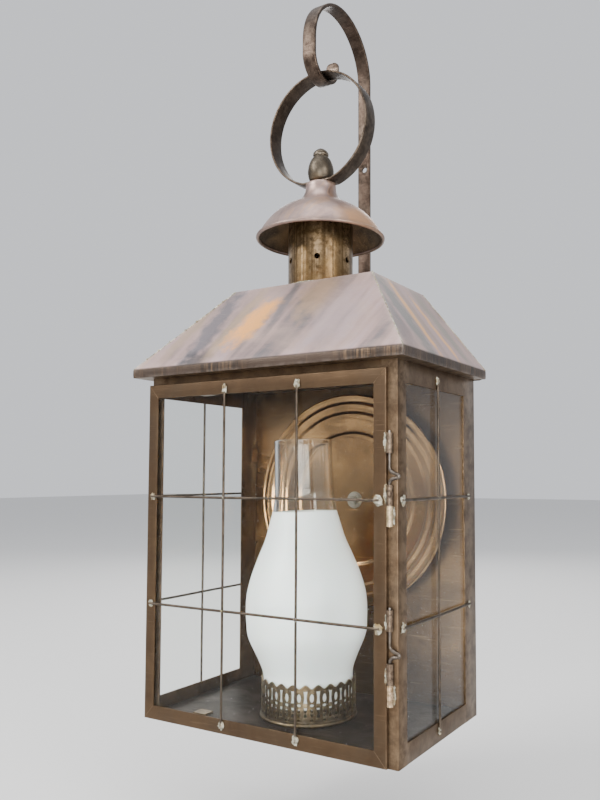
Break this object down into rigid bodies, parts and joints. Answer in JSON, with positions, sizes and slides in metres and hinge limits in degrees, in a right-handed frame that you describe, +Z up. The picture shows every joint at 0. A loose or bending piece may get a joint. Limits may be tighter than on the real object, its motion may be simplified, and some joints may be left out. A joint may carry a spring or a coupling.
{
  "type": "wall hung lantern",
  "caption": "Glazed copper lantern with hipped roof, vented cap and carrying ring, hung from a scrolled wall crook; hinged door, reflector and glass chimney lamp.",
  "frame": {"origin": "midway between the two screw holes of the wall crook, on the face that lies against the wall", "axes": "+Z up, +Y into the wall, -Y towards the viewer, +X to the right of a viewer who faces the door"},
  "size_m": [0.251, 0.1682, 0.6169],
  "materials": {
    "frame_copper": "aged satin copper",
    "roof_copper": "heat-patinated copper",
    "cap_copper": "aged satin copper",
    "collar_brass": "mottled aged brass",
    "ring_copper": "aged satin copper",
    "crook_copper": "aged satin copper",
    "finial_brass": "dull aged brass",
    "stud_brass": "plain brass",
    "floor_copper": "scratched brown copper",
    "back_copper": "golden brown copper",
    "reflector_copper": "polished copper",
    "bright_steel": "plated",
    "bushing_rubber": "matt",
    "pane_glass": "clear",
    "guard_wire": "aged wire",
    "hinge_metal": "aged satin copper",
    "pin_wire": "dark drawn wire",
    "catch_brass": "spring brass",
    "gallery_brass": "antique brass",
    "socket_ceramic": "glazed",
    "bulb_glass": "frosted",
    "chimney_glass": "opal below, clear above"
  },
  "bodies": {
    "crook": {"wall_crook": "crook_copper"},
    "lantern": {"ring_handle": "ring_copper", "finial_nut": "finial_brass", "cap_stud": "stud_brass", "stud_nuts": "stud_brass", "cap_spider": "stud_brass", "vent_cap": "cap_copper", "vent_collar": "collar_brass", "roof_shell": "roof_copper", "eave_plate": "frame_copper", "front_left_post": "frame_copper", "front_right_post": "frame_copper", "rear_left_post": "frame_copper", "rear_right_post": "frame_copper", "front_header": "frame_copper", "front_sill": "frame_copper", "left_top_rail": "frame_copper", "right_top_rail": "frame_copper", "left_bottom_rail": "frame_copper", "right_bottom_rail": "frame_copper", "floor_pan": "floor_copper", "back_panel": "back_copper", "reflector": "reflector_copper", "reflector_washers": "bright_steel", "reflector_bolt": "bright_steel", "reflector_nut": "bright_steel", "cable_bushing": "bushing_rubber", "left_glass": "pane_glass", "right_glass": "pane_glass", "left_glass_clips": "frame_copper", "right_glass_clips": "frame_copper", "left_guard_wires": "guard_wire", "right_guard_wires": "guard_wire", "post_knuckles": "hinge_metal", "spring_catches": "catch_brass", "lamp_nipple": "stud_brass", "lamp_lock_nut": "stud_brass", "gallery_base": "gallery_brass", "lamp_gallery": "gallery_brass", "lamp_socket": "socket_ceramic", "bulb_cap": "stud_brass", "light_bulb": "bulb_glass", "glass_chimney": "chimney_glass"},
    "door": {"door_frame": "frame_copper", "door_glass": "pane_glass", "door_glass_clips": "frame_copper", "door_guard_wires": "guard_wire", "upper_door_knuckles": "hinge_metal", "lower_door_knuckles": "hinge_metal", "catch_tongues": "catch_brass"},
    "upper_pin": {"upper_hinge_pin": "pin_wire"},
    "lower_pin": {"lower_hinge_pin": "pin_wire"}
  },
  "joints": [
    {"name": "lantern_swing", "type": "hinge", "parent": "crook", "child": "lantern", "pos_m": [0, -0.077, 0.145], "axis": [-1, 0, 0], "range_deg": [-1.2, 45]},
    {"name": "door_hinge", "type": "hinge", "parent": "lantern", "child": "door", "pos_m": [0.11, -0.1587, -0.27314], "axis": [0, 0, 1], "range_deg": [0, 110]},
    {"name": "upper_pin_lift", "type": "slide", "parent": "lantern", "child": "upper_pin", "axis": [0, 0, 1], "range_m": [0, 0.0103]},
    {"name": "lower_pin_lift", "type": "slide", "parent": "lantern", "child": "lower_pin", "axis": [0, 0, 1], "range_m": [0, 0.0103]}
  ]
}
